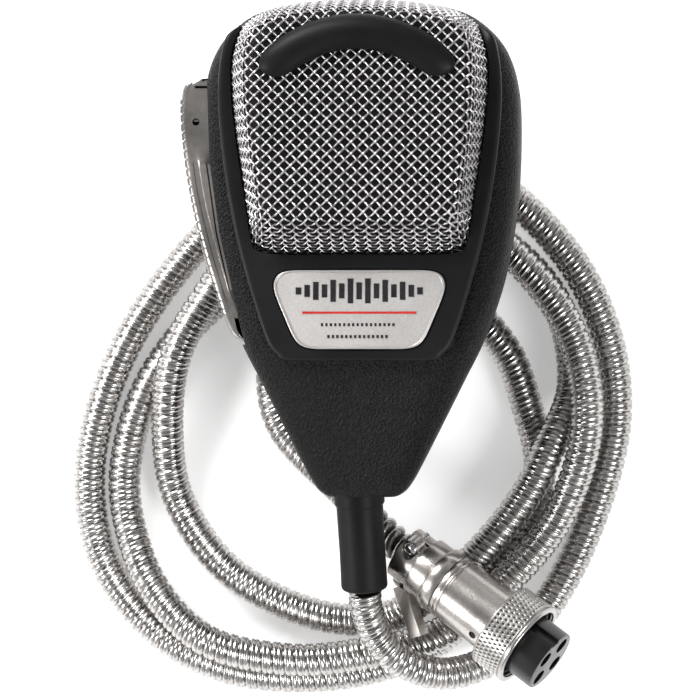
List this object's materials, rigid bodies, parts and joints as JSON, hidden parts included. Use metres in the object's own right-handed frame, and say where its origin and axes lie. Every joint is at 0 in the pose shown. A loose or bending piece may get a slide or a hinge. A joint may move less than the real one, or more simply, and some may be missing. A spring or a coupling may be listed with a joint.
{
  "type": "hand microphone",
  "caption": "Noise-cancelling hand microphone with a woven wire grille, side talk bar, back hang button, coiled armoured cord and screw-ring connector.",
  "frame": {"origin": "on the hang button axis, where its neck meets the back of the housing", "axes": "+X to the side away from the talk bar, +Y towards the head, +Z out of the grille"},
  "size_m": [0.1172, 0.1432, 0.0596],
  "materials": {
    "shell": "leather-grained satin",
    "bezel": "smooth satin",
    "wire": "woven bright wire",
    "badge": "domed clear resin over silver",
    "foam": "open foam",
    "inner_plastic": "satin",
    "zinc": "satin",
    "boot_rubber": "satin",
    "bar_chrome": "satin",
    "steel": "satin",
    "dark_steel": "blackened",
    "red_plastic": "gloss",
    "board": "coated",
    "wire_cover": "satin",
    "cord_steel": "bright",
    "nickel": "bright",
    "nickel_dull": "dull",
    "insert_plastic": "gloss",
    "contact_brass": "bright"
  },
  "bodies": {
    "housing": {"front_housing": "shell", "rear_housing": "shell", "front_bezel": "bezel", "grille_mesh": "wire", "lip_guard": "bezel", "badge_plate": "badge", "windscreen_foam": "foam", "baffle_plate": "inner_plastic", "mic_cartridge": "zinc", "cartridge_boot": "boot_rubber", "ptt_pivot_pin": "steel", "ptt_return_spring": "steel", "ptt_switch": "inner_plastic", "circuit_board": "board", "board_screws": "steel", "lead_wires": "wire_cover", "hang_button": "steel", "hang_button_screw": "steel", "hang_button_nut": "steel", "housing_screws": "dark_steel", "strain_relief": "boot_rubber", "inner_cord_clamp": "steel", "inner_clamp_screws": "steel", "armoured_cord": "cord_steel", "connector_barrel": "nickel", "connector_sleeve": "nickel", "connector_insert": "insert_plastic", "connector_contacts": "contact_brass", "cord_saddle": "nickel", "saddle_screws": "steel", "set_screw": "dark_steel", "anchor_hook": "nickel_dull"},
    "talk_bar": {"ptt_bar": "bar_chrome"},
    "plunger": {"switch_plunger": "red_plastic"},
    "coupling_ring": {"coupling_ring": "nickel"}
  },
  "joints": [
    {"name": "ptt_press", "type": "hinge", "parent": "housing", "child": "talk_bar", "pos_m": [-0.0285, 0.027, 0.01345], "axis": [0, 0, 1], "range_deg": [0, 3.5], "stiffness_Nm_per_rad": 0.9, "springref_deg": -6.02},
    {"name": "plunger_travel", "type": "slide", "parent": "housing", "child": "plunger", "axis": [1, 0, 0], "range_m": [0, 0.0022]},
    {"name": "coupling_ring_turn", "type": "hinge", "parent": "housing", "child": "coupling_ring", "pos_m": [0.03071, -0.07905, 0.00686], "axis": [0.7815, -0.5678, 0.2588], "continuous": true}
  ],
  "couplings": [
    {"joint": "plunger_travel", "follows": "ptt_press", "m_per_rad": 0.0345}
  ]
}
